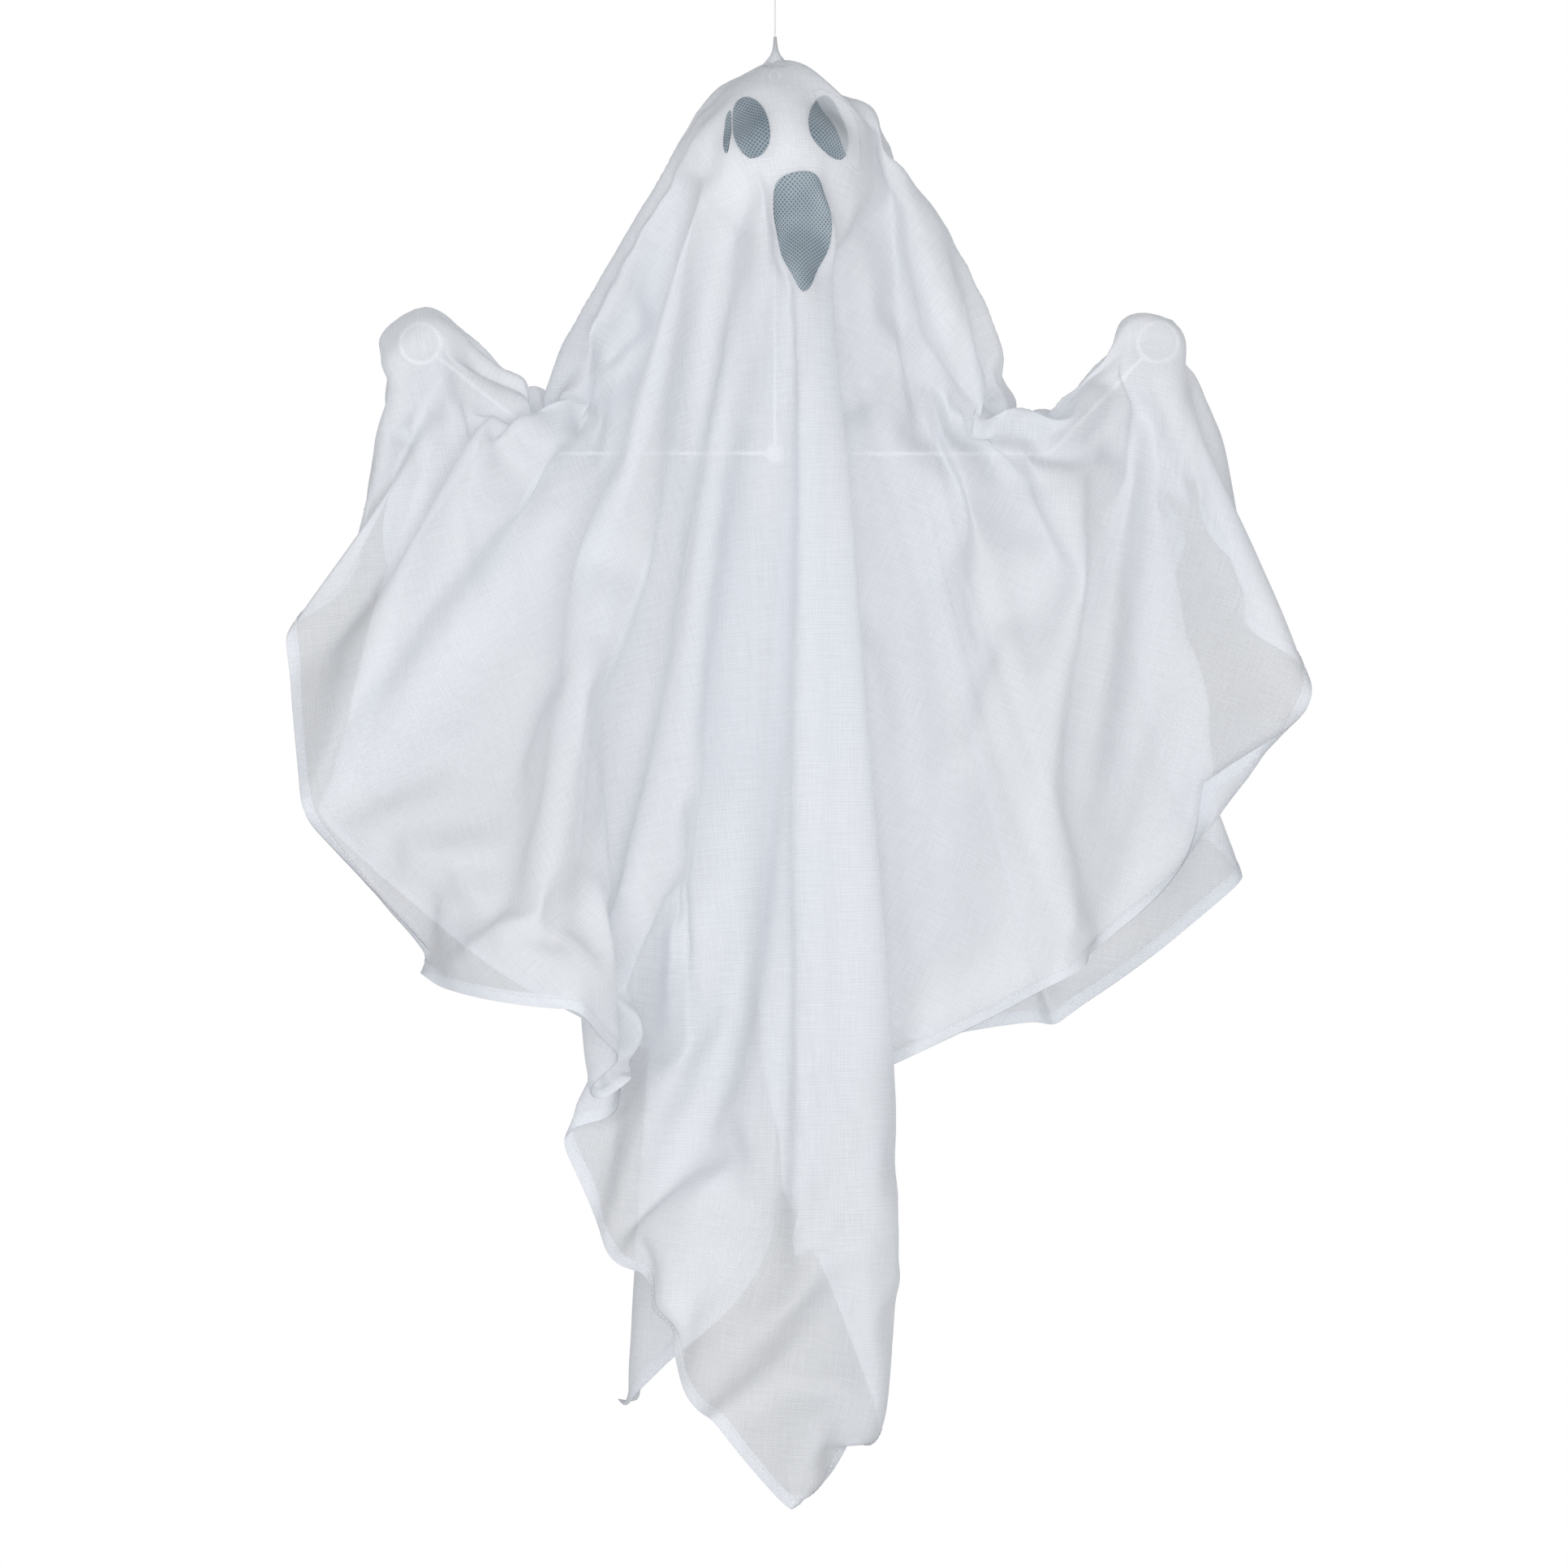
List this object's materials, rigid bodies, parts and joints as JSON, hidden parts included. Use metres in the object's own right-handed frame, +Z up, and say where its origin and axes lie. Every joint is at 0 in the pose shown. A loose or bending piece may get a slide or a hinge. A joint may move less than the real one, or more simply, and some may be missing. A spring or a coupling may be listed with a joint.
{
  "type": "hanging ghost decoration",
  "caption": "Sheer white ghost that hangs on a thread: a cloth draped over a foam ball head and two bendable wire arms, with dark eye and mouth patches and long pointed tails.",
  "frame": {"origin": "bearing point inside the top of the hanging loop, where a hook carries it", "axes": "+Z up along the hanging thread, the face looks along -Y, +X to the viewer's right of the face"},
  "size_m": [0.642, 0.2708, 0.9828],
  "materials": {
    "thread": "twisted white thread",
    "foam": "white polystyrene foam",
    "wire": "drawn soft aluminium wire",
    "voile": "sheer white polyester voile, narrow rolled hem",
    "dark_mesh": "dark blue-grey open mesh"
  },
  "bodies": {
    "hanger": {"hanging_loop": "thread"},
    "knot": {"loop_knot": "thread"},
    "thread": {"hanging_thread": "thread"},
    "ghost": {"thread_knot": "thread", "head_ball": "foam", "ball_collar": "wire", "spine_wire": "wire", "shoulder_rivet": "wire", "shroud_front": "voile", "shroud_back": "voile", "left_eye": "dark_mesh", "right_eye": "dark_mesh", "mouth": "dark_mesh"},
    "left_arm": {"left_arm_wire": "wire", "left_wing": "voile"},
    "right_arm": {"right_arm_wire": "wire", "right_wing": "voile"}
  },
  "joints": [
    {"name": "swing_fore_aft", "type": "hinge", "parent": "hanger", "child": "knot", "pos_m": [0, 0, -0.0253], "axis": [1, 0, 0], "range_deg": [-25, 25]},
    {"name": "swing_side", "type": "hinge", "parent": "knot", "child": "thread", "pos_m": [0, 0, -0.029], "axis": [0, 1, 0], "range_deg": [-25, 25]},
    {"name": "spin", "type": "hinge", "parent": "thread", "child": "ghost", "pos_m": [0, 0, -0.084], "axis": [0, 0, 1], "continuous": true},
    {"name": "left_arm_lift", "type": "hinge", "parent": "ghost", "child": "left_arm", "pos_m": [0, 0, -0.328], "axis": [0, 1, 0], "range_deg": [-10, 20]},
    {"name": "right_arm_lift", "type": "hinge", "parent": "ghost", "child": "right_arm", "pos_m": [0, 0, -0.328], "axis": [0, -1, 0], "range_deg": [-10, 20]}
  ]
}
